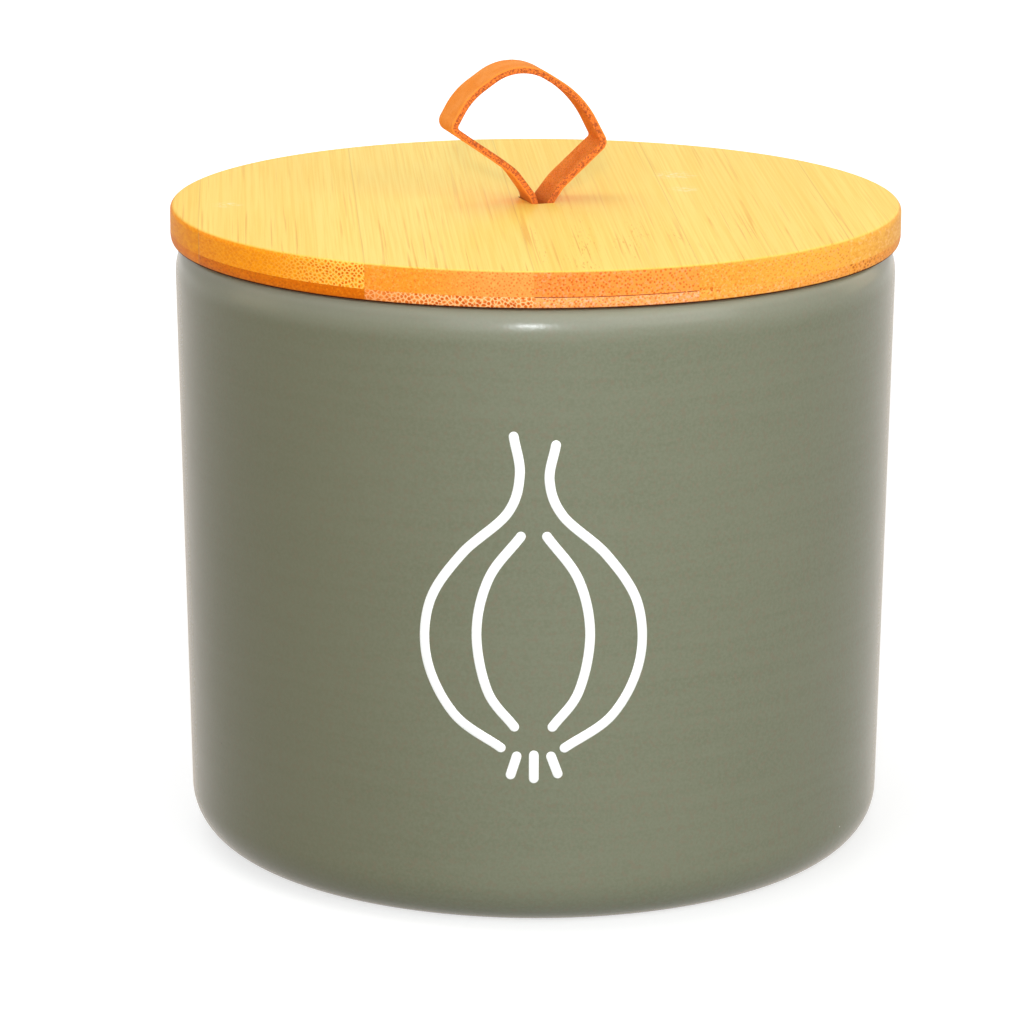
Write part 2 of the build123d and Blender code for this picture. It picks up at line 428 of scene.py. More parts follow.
# Iron specks, then pinholes: cells in a millimetre, size in a cell, colour, and the share of empty cells
GLAZE_SPOTS = ((0.1, 0.028, colour(80, 72, 58), 0.6), (0.09, 0.016, colour(176, 176, 162), 0.6))


def glaze():
    """Satin sage-grey glaze, finely mottled and lightly specked, with bare clay on the foot ring."""
    shade = Shading("sage_glaze", roughness=0.25, IOR=1.2, Specular_IOR_Level=1.0, Sheen_Weight=0.12)
    shade.bsdf.inputs["Sheen Roughness"].default_value = 0.3
    shade.bsdf.inputs["Sheen Tint"].default_value = (1.0, 0.55, 0.18, 1.0)
    spot = shade.place()
    x, _, height = shade.split(spot)
    cloud = shade.noise(spot, 0.035, 3.0)
    thrown = shade.noise(shade.vector("MULTIPLY", spot, (0.03, 0.03, 0.55)), 1.0, 3.0, 0.6)
    mottle = shade.noise(spot, 1.9, 3.0, 0.6)
    tint = shade.noise(shade.vector("ADD", spot, (70, 20, 10)), 1.1, 2.0, 0.6)
    base = shade.mix(cloud, *GLAZE_BODY)
    base = shade.wash(base, THROWN, shade.fade(thrown, 0.35, 0.65), 0.25)
    base = shade.wash(base, MOTTLE, shade.fade(mottle, 0.3, 0.7), 0.55)
    base = shade.wash(base, RUSTY, shade.fade(tint, 0.5, 0.68), 0.4)
    # Painted shade: the jar's left side is darkened and warmed, where less light falls
    base = shade.wash(base, PAINTED_LEFT_SHADE, shade.fade(x, 8.0, -48.0), 0.5)
    for scale, size, tone, empty in GLAZE_SPOTS:
        cell = shade.cells(shade.vector("ADD", spot, (scale * 900, 7, 3)), scale)
        chance, strength, _ = shade.split(cell["Color"])
        near = shade.fade(cell["Distance"], size, size * 0.5)
        base = shade.wash(base, tone, near, strength, shade.maths("GREATER_THAN", chance, empty))
    # The glaze breaks paler where it runs thin over the rim; this band is partly painted light too,
    # brightened against the shade under the lid
    base = shade.wash(base, THIN_GLAZE_AND_PAINTED_LIGHT, shade.fade(height, JAR_HEIGHT - 6.5, JAR_HEIGHT - 1.5), 0.4)
    # Painted light: the narrow band right under the lid is lifted paler, where the lid's shade falls
    base = shade.wash(base, PAINTED_LIGHT_UNDER_LID, shade.fade(height, JAR_HEIGHT - 2.4, JAR_HEIGHT - 0.5), 0.3)
    # The foot ring was wiped to a ragged line
    ragged = shade.maths("MULTIPLY", shade.noise(spot, 0.5), 0.5)
    radius = shade.length(shade.vector("MULTIPLY", spot, (1, 1, 0)))
    on_ring = shade.fade(radius, FOOT_INNER_RADIUS - 1, FOOT_INNER_RADIUS)
    bare = shade.product(shade.fade(shade.maths("SUBTRACT", height, ragged), 0.35, 0.15), on_ring)
    base = shade.mix(bare, base, shade.mix(shade.noise(spot, 2.5, 4.0), *BARE_CLAY))
    fine = shade.bump(shade.noise(spot, 1.2), 0.04, 0.4)
    waves = shade.noise(shade.vector("MULTIPLY", spot, (1, 1, 3)), 0.05, 1.0)
    rough = shade.ramp(bare, shade.ramp(mottle, 0.19, 0.06), 0.45)
    return shade.finish(base, shade.bump(waves, 0.5, 0.2, fine), rough)


def white_line():
    """The thick white glaze of the drawn line."""
    shade = Shading("white_line", roughness=0.35)
    patch = shade.noise(shade.place(), 0.8)
    base = shade.mix(patch, colour(250, 250, 247), colour(238, 238, 232))
    return shade.finish(base, shade.bump(patch, 0.03, 0.6))


# ---- bamboo

SMALL_PORE = colour(210, 98, 26)
SCUFF = colour(255, 240, 196)
PAINTED_SLOT_SHADE = colour(120, 60, 22)
PAINTED_GAP_SHADE = colour(58, 20, 12)
STRIP_SEAM = colour(206, 132, 44)
OPEN_GLUE = colour(146, 66, 36)
RAGGED_GLUE = colour(196, 84, 16)
# Pale scuffs on the lid's face, as places across and along the grain and a reach
SCUFFS = [(-52.8, -2.3, 3.2), (26.1, 22.8, 5.0), (26.4, 9.0, 3.4)]


class Bamboo(Shading):
    """Laminated bamboo. Its grain runs along y after the turn, and seed tells its strips apart."""

    def __init__(self, name, seed):
        super().__init__(name, roughness=0.5, Specular_IOR_Level=0.07)
        self.spot = self.place(GRAIN_TURN)
        self.seeded = self.vector("ADD", self.spot, (seed * 13.7, seed * 41.3, seed * 5.9))
        self.across, self.along, self.height = self.split(self.spot)
        self.level_spot = self.join(self.across, self.along, 0.0)
        self.radius = self.length(self.level_spot)
        self.straight = self.streaks(1.0, 0.008, 2.6, 3.0, 0.6)
        # Bundles of fibre stand in rows a half step apart, which wander a little
        slow = self.vector("MULTIPLY", self.seeded, (0.3, 0.03, 0.3))
        drift = self.vector("SUBTRACT", self.noise(slow, 1.0, output="Color"), (0.5, 0.5, 0.5))
        wander = self.vector("MULTIPLY", drift, (0.9, 0.0, 0.9))
        x, _, z = self.split(self.vector("ADD", self.seeded, wander))
        self.lattice = self.join(self.maths("ADD", x, z), self.maths("SUBTRACT", x, z), 0.0)

    def streaks(self, across, along, *settings):
        """Noise drawn out along the grain."""
        return self.noise(self.vector("MULTIPLY", self.seeded, (across, along, across)), *settings)

    def bundles(self, pitch, feature="F1"):
        return self.cells(self.lattice, sqrt(0.5) / pitch, 0.7, "2D", feature)

    def pores(self, pitch, size):
        """The cut bundles, of uneven size and darkness."""
        cell = self.bundles(pitch)
        uneven = self.split(cell["Color"])[0]
        far = self.maths("DIVIDE", cell["Distance"], self.ramp(uneven, 0.75, 0.5))
        near = self.fade(far, size * 1.3, size * 0.6)
        return self.maths("MULTIPLY", near, self.ramp(uneven, 0.5, 0.7), clamp=True)

    def walls(self, pitch):
        """The web of wood between the bundles."""
        return self.fade(self.bundles(pitch, "DISTANCE_TO_EDGE")["Distance"], 0.17, 0.04)

    def level_face(self, face, nicked):
        """Close straight grain, long tan lines of uneven spacing, and short dark nicks to the front."""
        broad = self.streaks(1.0, 0.02, 0.16)
        lines = self.streaks(1.0, 0.01, 1.9, 1.0, 0.6)
        where = self.streaks(0.12, 0.025, 1.0)
        nicks = self.streaks(1.0, 0.11, 3.4, 1.0)
        frontward = self.fade(self.along, 25.0, -50.0)
        tan_face, dark_face = tinted(face, 0.97, 0.82, 0.55), tinted(face, 0.84, 0.52, 0.18)
        level = self.wash(face, tan_face, self.fade(self.straight, 0.38, 0.66), 0.6)
        level = self.wash(level, tan_face, self.fade(broad, 0.4, 0.62), 0.25)
        line = self.product(self.fade(lines, 0.6, 0.68), self.fade(where, 0.36, 0.6))
        level = self.wash(level, dark_face, line, self.ramp(frontward, 0.28, 0.4))
        nick = self.product(self.fade(nicks, 0.62, 0.72), self.fade(where, 0.46, 0.6))
        return self.wash(level, dark_face, nick, self.product(frontward, nicked))

    def scuffed(self, level):
        """The level face with the lid's pale scuffs."""
        patch = self.fade(self.noise(self.spot, 0.7, 3.0, 0.7), 0.45, 0.65)
        on_top = self.fade(self.height, LID_TOP - 1.0, LID_TOP - 0.5)
        for across, along, reach in SCUFFS:
            away = self.length(self.vector("SUBTRACT", self.level_spot, (across, along, 0.0)))
            level = self.wash(level, SCUFF, self.fade(away, reach, reach * 0.3), patch, on_top, 0.55)
        return level

    def cut_edge(self, edge, lean, shade_to):
        """End grain and side grain, turning into shade_to where lean is 1."""
        grain = self.streaks(1.0, 0.05, 1.5, 3.0, 0.65)
        fleck = self.streaks(1.0, 0.08, 2.1, 2.0, 0.6)
        upright = self.wash(edge, tinted(edge, 0.9, 0.7, 0.5), self.fade(grain, 0.35, 0.7), 0.8)
        if shade_to is not None:
            upright = self.mix(lean, upright, shade_to)
        return self.wash(upright, tinted(edge, 1.05, 1.18, 2.8), self.fade(fleck, 0.52, 0.64), 0.65)

    def glue_line(self, upright, start, end, half, ragged):
        """The plies' joint where it has opened, between two places across the grain."""
        off_joint = self.maths("ABSOLUTE", self.maths("SUBTRACT", self.height, PLY_JOINT))
        uneven = self.fade(self.noise(self.spot, 1.6), 0.3 + 0.2 * ragged, 0.42 + 0.2 * ragged)
        mark = self.product(self.fade(off_joint, half * 1.5, half * 0.6), uneven)
        after_start = self.fade(self.across, start - 0.2, start + 0.2)
        before_end = self.fade(self.across, end + 0.3, end - 0.3)
        tone = RAGGED_GLUE if ragged else OPEN_GLUE
        return self.wash(upright, tone, mark, after_start, before_end)


def bamboo(
    name, seed, face, edge, pitch, size, amount, pore=SMALL_PORE, across=(-1, 0), ends=(),
    shade_to=None, web=None, nicked=0.12, glue=None,
):
    """A strip of bamboo.
    face and edge colour the level and the upright surfaces. Pores are the cut bundles of fibre: pitch is
    their spacing, size their share of it, and amount how dark they are at both ends of across. ends are
    the strip's two sides, shade_to is the edge's colour at the far end of across, web that of the wood
    between the pores, nicked how dark the face's nicks are, and glue an open glue line."""
    shade = Bamboo(name, seed)
    lean = shade.fade(shade.across, *across)
    strength = shade.ramp(lean, amount[0], amount[1] - amount[0])
    pores = shade.pores(pitch, size)
    level = shade.scuffed(shade.level_face(face, nicked))
    upright = shade.cut_edge(edge, lean, shade_to)
    if web is not None:
        upright = shade.wash(upright, web, strength, 0.2)
        upright = shade.wash(upright, tinted(web, 1.0, 1.15, 1.35), shade.walls(pitch), strength)
    upright = shade.wash(upright, pore, pores, strength)
    if glue is not None:
        upright = shade.glue_line(upright, *glue)
    # Painted shade: the slot's walls are darkened near the lid's middle, as the shade inside the slot
    upright = shade.wash(upright, PAINTED_SLOT_SHADE, shade.fade(shade.radius, 6.0, 5.0), 0.85)

    facing = shade.split(shade.add("NewGeometry").outputs["Normal"])[2]
    flat = shade.fade(shade.maths("ABSOLUTE", facing), 0.7, 0.96)
    base = shade.mix(flat, upright, level)
    for side in ends:
        off_seam = shade.maths("ABSOLUTE", shade.maths("SUBTRACT", shade.across, side))
        base = shade.wash(base, STRIP_SEAM, shade.fade(off_seam, 0.16, 0.05), 0.25)
    # Painted shade: the lid's lower arris is darkened as the shadowed gap over the jar's rim
    low_edge = shade.fade(shade.radius, LID_RADIUS - BOTTOM_EDGE_IN - 0.2, LID_RADIUS - BOTTOM_EDGE_IN)
    painted_shade_arris = shade.product(shade.fade(shade.height, LID_BOTTOM + 0.42, LID_BOTTOM + 0.2), low_edge)
    base = shade.mix(painted_shade_arris, base, PAINTED_GAP_SHADE)
    pits = shade.product(pores, strength, shade.maths("SUBTRACT", 1.0, flat))
    relief = shade.maths("SUBTRACT", shade.maths("MULTIPLY", shade.straight, 0.35), pits)
    rough = shade.ramp(painted_shade_arris, shade.ramp(shade.straight, 0.4, 0.14), 0.45)
    return shade.finish(base, shade.bump(relief, 0.06, 0.4), rough)


# ---- leather, silicone and steel

# The leather's tones
SUEDE = colour(253, 160, 76), colour(250, 146, 52)
SUEDE_NAP = colour(238, 130, 34)
SUEDE_FLUFF = colour(214, 124, 66)
BACK = colour(243, 142, 40), colour(232, 120, 14)
BACK_NAP = colour(246, 158, 98)
BACK_FLUFF = colour(176, 86, 34)
CORE = colour(236, 128, 50), colour(208, 104, 46)
CORE_FLUFF = colour(142, 66, 40)
BURNISHED = colour(246, 140, 54)
BURNISHED_FLUFF = colour(200, 106, 54)
PAINTED_ROOT_SHADE = colour(158, 72, 24)

# What the strap's mesh tells its material: the place along, across and through the leather, 1 on its
# inner side, and the height over the lid's face
STRAP_LAYERS = ("along", "over", "depth", "inside", "rise")


def leather():
    """Vegetable-tanned leather: a rubbed suede face, a rougher back and speckled cut edges."""
    shade = Shading("tan_leather", roughness=0.75, Specular_IOR_Level=0.12)
    layers = (shade.add("Attribute", attribute_name=layer).outputs["Fac"] for layer in STRAP_LAYERS)
    along, over, depth, inside, rise = layers
    flat = shade.join(along, over, depth)
    pebble = shade.cells(flat, 3.2, 0.9)["Distance"]
    rubbed = shade.noise(flat, 0.35, 3.0, 0.6)
    nap = shade.noise(flat, 3.2, 3.0, 0.65)
    fluff = shade.noise(shade.vector("ADD", flat, (40, 9, 3)), 2.9, 3.0, 0.7)
    face = shade.mix(shade.fade(rubbed, 0.3, 0.7), *SUEDE)
    face = shade.wash(face, SUEDE_NAP, shade.fade(nap, 0.42, 0.66), 0.5)
    face = shade.wash(face, SUEDE_FLUFF, shade.fade(fluff, 0.62, 0.72), 0.4)
    back = shade.mix(shade.fade(rubbed, 0.35, 0.65), *BACK)
    back = shade.wash(back, BACK_NAP, shade.fade(nap, 0.45, 0.62), 0.55)
    back = shade.wash(back, BACK_FLUFF, shade.fade(fluff, 0.54, 0.63), 0.7)
    # The cut edge: its outer border is burnished like the face, and the rest is dark and fibrous
    core = shade.mix(shade.fade(nap, 0.42, 0.62), *CORE)
    core = shade.wash(core, CORE_FLUFF, shade.fade(fluff, 0.47, 0.58), 0.8)
    burnished = shade.wash(BURNISHED, BURNISHED_FLUFF, shade.fade(fluff, 0.6, 0.7), 0.4)
    cut_side = shade.mix(shade.fade(depth, 0.46, 0.26), burnished, core)
    sideways = shade.maths("ABSOLUTE", over)
    on_cut = shade.fade(sideways, STRAP_WIDTH / 2 - 0.16, STRAP_WIDTH / 2 - 0.08)
    base = shade.mix(on_cut, shade.mix(inside, face, back), cut_side)
    # Painted shade: darker at the roots, where the strap bends down into the lid
    root_shade = shade.product(shade.fade(rise, 3.2, -0.4), shade.fade(rise, -3.0, -2.0))
    base = shade.wash(base, PAINTED_ROOT_SHADE, root_shade, 0.5)
    relief = shade.maths("ADD", shade.maths("MULTIPLY", pebble, 0.5), shade.maths("MULTIPLY", nap, 0.7))
    return shade.finish(base, shade.bump(relief, 0.14, 0.6))


def silicone():
    """Milky moulded silicone."""
    shade = Shading("milky_silicone", roughness=0.42, Subsurface_Weight=0.3, Subsurface_Scale=0.002)
    spot = shade.place()
    base = shade.mix(shade.noise(spot, 0.2), colour(232, 232, 226), colour(218, 219, 214))
    return shade.finish(base, shade.bump(shade.noise(spot, 3.0), 0.02, 0.4))


def steel():
    """Plated screw steel."""
    shade = Shading("screw_steel", roughness=0.3, Metallic=1.0)
    spot = shade.place()
    base = shade.mix(shade.noise(spot, 1.5, 3.0), colour(202, 200, 194), colour(176, 174, 168))
    return shade.finish(base, shade.bump(shade.noise(spot, 9.0), 0.01, 0.4))


def give(piece, material, slot, body, *nodes):
    """Finishes a piece: its material, the body it rides on and its CAD nodes. slot is not used."""
    piece.data.materials.clear()
    piece.data.materials.append(material)
    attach(piece, body)
    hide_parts(*nodes)


# ---- jar


def wall_radius(height):
    """The jar's outer wall between heel and rim."""
    share = (height - HEEL_ROUND) / (JAR_HEIGHT - RIM_ROUND_DOWN - HEEL_ROUND)
    return JAR_BASE_RADIUS + (JAR_RIM_RADIUS - JAR_BASE_RADIUS) * share


def vent_cutter(height, angle):
    """A plug for one air hole, flared at both ends so that the glazed edges come out rounded."""
    middle, half = (BORE_RADIUS + wall_radius(height)) / 2, (wall_radius(height) - BORE_RADIUS) / 2
    flare = VENT_EDGE_ROUND
    mouth = VENT_RADIUS + flare
    wide, end = mouth + CUTTER_WIDER, half + CUTTER_PAST
    section = [(0, -end), (wide, -end)]
    section += quarter(mouth, -half + flare, flare, flare, 270, 180, 6)
    section += quarter(mouth, half - flare, flare, flare, 180, 90, 6)
    section += [(wide, end), (0, end)]
    cutter = lathe("vent_cutter", section, 48)
    lay_down = Matrix.Rotation(radians(angle), 4, "Z") @ Matrix.Rotation(radians(90), 4, "Y")
    cutter.data.transform(Matrix.Translation(lay_down @ Vector((0, 0, 1)) * middle * MM) @ lay_down)
    cutter.data.transform(Matrix.Translation((0, 0, height * MM)))
    return cutter


def jar_section():
    """The jar's outline from the middle of its foot, over the rim and down to the middle of its floor."""
    wall_foot, wall_head = HEEL_ROUND, JAR_HEIGHT - RIM_ROUND_DOWN
    section = [(0.0, FOOT_RECESS), (FOOT_INNER_RADIUS - FOOT_EDGE_ROUND, FOOT_RECESS)]
    section += quarter(FOOT_INNER_RADIUS, FOOT_EDGE_ROUND, FOOT_EDGE_ROUND, -FOOT_EDGE_ROUND, 180, 90, 3)
    section += quarter(JAR_BASE_RADIUS - HEEL_ROUND, HEEL_ROUND, HEEL_ROUND, HEEL_ROUND, -90, 0, 16)
    rows = 70
    wall = [wall_foot + (wall_head - wall_foot) * k / rows for k in range(1, rows)]
    section += [(wall_radius(z), z) for z in wall]
    section += quarter(JAR_RIM_RADIUS - RIM_ROUND_IN, wall_head, RIM_ROUND_IN, RIM_ROUND_DOWN, 0, 90, 14)
    edge = BORE_RADIUS + RIM_EDGE_ROUND
    section += quarter(edge, JAR_HEIGHT - RIM_EDGE_ROUND, -RIM_EDGE_ROUND, RIM_EDGE_ROUND, 90, 0, 6)
    well, well_foot = BORE_RADIUS - WELL_ROUND, FLOOR_TOP + WELL_ROUND
    section += [(BORE_RADIUS, z) for z in reversed(wall) if z > well_foot + 1]
    section += quarter(well, well_foot, WELL_ROUND, WELL_ROUND, 0, -90, 12)
    return section + [(well / 2, FLOOR_TOP), (0.0, FLOOR_TOP)]


def make_jar():
    jar = lathe("jar", jar_section(), 320)
    step = degrees(VENT_PITCH / JAR_RIM_RADIUS)
    cutters = []
    for row, holes in enumerate(VENT_ROWS):
        height = VENT_HEIGHT + (row - (len(VENT_ROWS) - 1) / 2) * VENT_ROW_PITCH
        for k in range(holes):
            cutters.append(vent_cutter(height, 90 + (k - (holes - 1) / 2) * step))
    cut(jar, *cutters)
    give(jar, glaze(), "stoneware_glaze", "jar", "stoneware_jar")


LINE_WIDTH = 1.6
LINE_RISE = 0.16
LINE_SINK = 0.25
LINE_FOOT = 0.9
LINE_END_STEPS = 6
BULB_HEIGHT = 56.0
# Each line of the drawn garlic bulb, as (along the wall, height over the drawing's middle) points
BULB_LINES = {
    "left_side": [
        (-3.2, 28.4), (-2.2, 22.0), (-4.2, 15.6), (-11.6, 8.6),
        (-17.0, 0.2), (-17.5, -9.5), (-13.0, -18.5), (-5.2, -24.0),
    ],
    "right_side": [
        (3.6, 27.0), (2.6, 21.0), (4.8, 15.2), (12.0, 8.4),
        (17.2, 0.0), (17.6, -9.7), (13.2, -18.5), (5.2, -24.0),
    ],
    "left_clove": [(-2.0, 11.8), (-7.2, 4.6), (-9.2, -4.6), (-7.4, -14.4), (-3.0, -20.4)],
    "right_clove": [(2.2, 11.8), (7.4, 4.4), (9.3, -4.8), (7.5, -14.4), (3.2, -20.4)],
    "left_root": [(-2.6, -25.4), (-3.6, -28.6)],
    "middle_root": [(0.2, -25.2), (0.2, -29.2)],
    "right_root": [(3.0, -25.4), (4.1, -28.4)],
}


def smooth_line(points, step=0.5):
    """Points along a smooth curve through these, about evenly spaced."""
    spots = [Vector(p) for p in points]
    padded = [2 * spots[0] - spots[1]] + spots + [2 * spots[-1] - spots[-2]]
    line = []
    for a, b, c, d in zip(padded, padded[1:], padded[2:], padded[3:]):
        count = max(2, int((c - b).length / step))
        for k in range(count):
            t = k / count
            doubled = 2 * b + (c - a) * t + (2 * a - 5 * b + 4 * c - d) * t**2
            line.append(0.5 * (doubled + (3 * b - a - 3 * c + d) * t**3))
    return line + [spots[-1]]


def line_stations(line, half):
    """Places along a line with round ends, each with its direction and half width."""
    ways = [(b - a).normalized() for a, b in zip(line, line[1:])]
    leans = [radians(90 * k / LINE_END_STEPS) for k in range(LINE_END_STEPS + 1)]
    stations = []
    for lean in reversed(leans[1:]):
        stations.append((line[0] - ways[0] * half * sin(lean), ways[0], half * cos(lean)))
    for k, spot in enumerate(line):
        way = (ways[max(k - 1, 0)] + ways[min(k, len(ways) - 1)]).normalized()
        stations.append((spot, way, half))
    for lean in leans[1:]:
        stations.append((line[-1] + ways[-1] * half * sin(lean), ways[-1], half * cos(lean)))
    return stations


def make_drawn_line(name, points, material):
    """One line with round ends, laid on the jar's wall as a low rounded bead."""
    half = LINE_WIDTH / 2
    rings = []
    for spot, way, reach in line_stations(smooth_line(points), half):
        side = Vector((-way.y, way.x))
        bead = []
        for k in range(9):
            across = -cos(pi * k / 8)
            rise = LINE_RISE * sqrt(max(0, 1 - across**2)) * sqrt(reach / half)
            bead.append((spot + side * across * reach, rise))
        for across in (LINE_FOOT, -LINE_FOOT):
            bead.append((spot + side * across * reach, -LINE_SINK))
        ring = []
        for place, rise in bead:
            height = BULB_HEIGHT + place.y
            angle = -pi / 2 + place.x / wall_radius(height)
            radius = wall_radius(height) + rise
            ring.append((radius * cos(angle), radius * sin(angle), height))
        rings.append(ring)
    give(skin(name, rings, 60.0), material, "stoneware_glaze", "jar")


# ---- lid

# How each strip of the two plies looks, from left to right
OPEN_JOINT = (-4.1, 22.6, 0.07, 0.0)
RAGGED_JOINT = (22.6, 25.8, 0.4, 1.0)
UPPER_LOOKS = [
    dict(
        face=colour(254, 214, 98), edge=colour(254, 160, 4),
        pitch=0.5, size=0.22, amount=(0.1, 0.2),
    ),
    dict(
        face=colour(254, 220, 108), edge=colour(254, 154, 4), shade_to=colour(255, 166, 26),
        pore=colour(224, 98, 4), pitch=0.58, size=0.29, amount=(0.16, 1.0), across=(-48, -33),
        web=colour(255, 184, 84),
    ),
    dict(
        face=colour(254, 222, 114), edge=colour(252, 153, 46), shade_to=colour(251, 150, 70),
        pitch=0.55, size=0.25, amount=(0.4, 0.7), across=(-24, -8),
    ),
    dict(
        face=colour(254, 220, 108), edge=colour(246, 142, 60), shade_to=colour(249, 150, 60),
        pitch=0.62, size=0.26, amount=(0.95, 0.85), across=(-4, 22),
        nicked=0.75, glue=OPEN_JOINT,
    ),
    dict(
        face=colour(254, 221, 110), edge=colour(250, 161, 60), shade_to=colour(251, 177, 68),
        pitch=0.62, size=0.22, amount=(0.5, 0.45), across=(22, 49),
        nicked=0.3, glue=RAGGED_JOINT,
    ),
    dict(
        face=colour(254, 221, 108), edge=colour(252, 185, 74),
        pitch=0.55, size=0.22, amount=(0.3, 0.1),
    ),
]
LOWER_LOOKS = [
    dict(
        face=colour(206, 132, 50), edge=colour(244, 138, 6),
        pitch=0.5, size=0.22, amount=(0.15, 0.15),
    ),
    dict(
        face=colour(206, 132, 50), edge=colour(226, 120, 6), shade_to=colour(214, 104, 4),
        pore=colour(170, 74, 6), pitch=0.55, size=0.3, amount=(0.35, 0.3), across=(-57, -31),
    ),
    dict(
        face=colour(236, 172, 84), edge=colour(246, 138, 46),
        pore=colour(206, 88, 16), pitch=0.66, size=0.34, amount=(0.45, 1.0), across=(-31, -20),
        web=colour(255, 184, 118),
    ),
    dict(
        face=colour(236, 172, 84), edge=colour(253, 170, 96),
        pitch=0.58, size=0.27, amount=(0.8, 0.6), across=(-4, 22),
        glue=OPEN_JOINT,
    ),
    dict(
        face=colour(236, 172, 84), edge=colour(251, 170, 72),
        pitch=0.62, size=0.24, amount=(0.55, 0.5),
        glue=RAGGED_JOINT,
    ),
    dict(
        face=colour(236, 172, 84), edge=colour(250, 166, 60),
        pore=colour(196, 92, 18), pitch=0.64, size=0.3, amount=(0.8, 0.3), across=(51, 58),
    ),
]
PLUG_LOOK = dict(
    face=colour(240, 192, 100), edge=colour(236, 160, 70),
    pitch=0.55, size=0.24, amount=(0.5, 0.5),
)
# What a strip's number is added to for its seed, so that no two share their grain
UPPER_SEED = 0
LOWER_SEED = 7
PLUG_SEED = 20


def slot_cutter():
    """The slot down through the lid and plug, and the pocket that opens under it."""
    half, ceiling = SLOT_WIDTH / 2, PLUG_BOTTOM + POCKET_DEPTH
    ease = STRAP_THICKNESS
    outline = [(half, LID_TOP + 1), (-half, LID_TOP + 1)]
    outline += quarter(-half - ease, ceiling + ease, ease, ease, 0, -90)
    outline += [(-POCKET_HALF, ceiling), (-POCKET_HALF, PLUG_BOTTOM - 1)]
    outline += [(POCKET_HALF, PLUG_BOTTOM - 1), (POCKET_HALF, ceiling)]
    outline += quarter(half + ease, ceiling + ease, ease, ease, 270, 180)
    return prism("slot_cutter", outline, SLOT_LENGTH / 2)


def upper_section():
    """The upper ply's edge, from its glued face up."""
    centre = (LID_RADIUS - TOP_EDGE_ROUND, LID_TOP - TOP_EDGE_ROUND)
    section = [(LID_RADIUS - JOINT_MARGIN, PLY_JOINT), (LID_RADIUS, PLY_JOINT)]
    section += quarter(*centre, TOP_EDGE_ROUND, TOP_EDGE_ROUND, 0, 90)
    return section + [(LID_RADIUS - TOP_EDGE_ROUND - TOP_MARGIN, LID_TOP)]


def lower_section():
    """The lower ply's edge, from its underside up."""
    centre = (LID_RADIUS - BOTTOM_EDGE_IN, LID_BOTTOM + BOTTOM_EDGE_UP)
    section = [(LID_RADIUS - BOTTOM_EDGE_IN - BOTTOM_MARGIN, LID_BOTTOM)]
    section += quarter(*centre, BOTTOM_EDGE_IN, BOTTOM_EDGE_UP, -90, 0)
    return section + [(LID_RADIUS, PLY_JOINT), (LID_RADIUS - JOINT_MARGIN, PLY_JOINT)]


def make_lid():
    width = (2 * LID_RADIUS - LEFT_EDGE_STAVE - RIGHT_EDGE_STAVE) / FULL_STAVES
    joints = [LEFT_EDGE_STAVE - LID_RADIUS + width * k for k in range(FULL_STAVES + 1)]
    places = list(zip([None] + joints, joints + [None]))
    plies = (
        ("upper", upper_section(), UPPER_LOOKS, UPPER_SEED),
        ("lower", lower_section(), LOWER_LOOKS, LOWER_SEED),
    )
    for ply, section, looks, seed in plies:
        for number, ((left, right), look) in enumerate(zip(places, looks), start=1):
            strip = disc_strip(f"{ply}_strip_{number}", section, left, right, GRAIN_TURN)
            if number == SLOT_STAVE:
                cut(strip, slot_cutter())
            ends = [place for place in (left, right) if place is not None]
            material = bamboo(f"bamboo_{ply}_{number}", seed=seed + number, ends=ends, **look)
            give(strip, material, f"bamboo_{ply}", "lid", f"{ply}_stave_{number}")


def plug_section():
    """The plug's edge with its groove, from its underside up."""
    centre = (PLUG_RADIUS - PLUG_EDGE_ROUND, PLUG_BOTTOM + PLUG_EDGE_ROUND)
    section = [(PLUG_RADIUS - PLUG_EDGE_ROUND - BOTTOM_MARGIN, PLUG_BOTTOM)]
    section += quarter(*centre, PLUG_EDGE_ROUND, PLUG_EDGE_ROUND, -90, 0)
    section += [(PLUG_RADIUS, GROOVE_BOTTOM), (GROOVE_RADIUS, GROOVE_BOTTOM)]
    section += [(GROOVE_RADIUS, GROOVE_TOP), (PLUG_RADIUS, GROOVE_TOP)]
    return section + [(PLUG_RADIUS, LID_BOTTOM), (PLUG_RADIUS - PLUG_TOP_MARGIN, LID_BOTTOM)]


def make_plug():
    width = 2 * PLUG_RADIUS / PLUG_STAVES
    joints = [width * k - PLUG_RADIUS for k in range(1, PLUG_STAVES)]
    for number, (front, back) in enumerate(zip([None] + joints, joints + [None]), start=1):
        strip = disc_strip(f"plug_strip_{number}", plug_section(), front, back, GRAIN_TURN + 90, 1.2)
        if number == PLUG_SLOT_STAVE:
            cut(strip, slot_cutter())
        material = bamboo(f"bamboo_plug_{number}", seed=PLUG_SEED + number, **PLUG_LOOK)
        give(strip, material, "bamboo_plug", "lid", f"plug_stave_{number}")


def make_seal():
    """A ring with a soft fin at its top and bottom."""
    bore, lip = GROOVE_RADIUS + SEAL_PLAY, FIN_LIP_ROUND
    fillet = PLUG_RADIUS + FIN_FILLET_OUT
    section = [(bore, GROOVE_BOTTOM), (PLUG_RADIUS, GROOVE_BOTTOM)]
    section += quarter(FIN_RADIUS - lip, GROOVE_BOTTOM + lip, lip, lip, -90, 80)
    section += [(fillet, GROOVE_BOTTOM + FIN_FILLET_DOWN), (PLUG_RADIUS, GROOVE_BOTTOM + FIN_ROOT)]
    section += [(PLUG_RADIUS, GROOVE_TOP - FIN_ROOT), (fillet, GROOVE_TOP - FIN_FILLET_DOWN)]
    section += quarter(FIN_RADIUS - lip, GROOVE_TOP - lip, lip, lip, -80, 90)
    section += [(PLUG_RADIUS, GROOVE_TOP), (bore, GROOVE_TOP)]
    seal = lathe("seal", section, 192, closed=True)
    give(seal, silicone(), "silicone", "lid", "silicone_seal")


# ---- strap

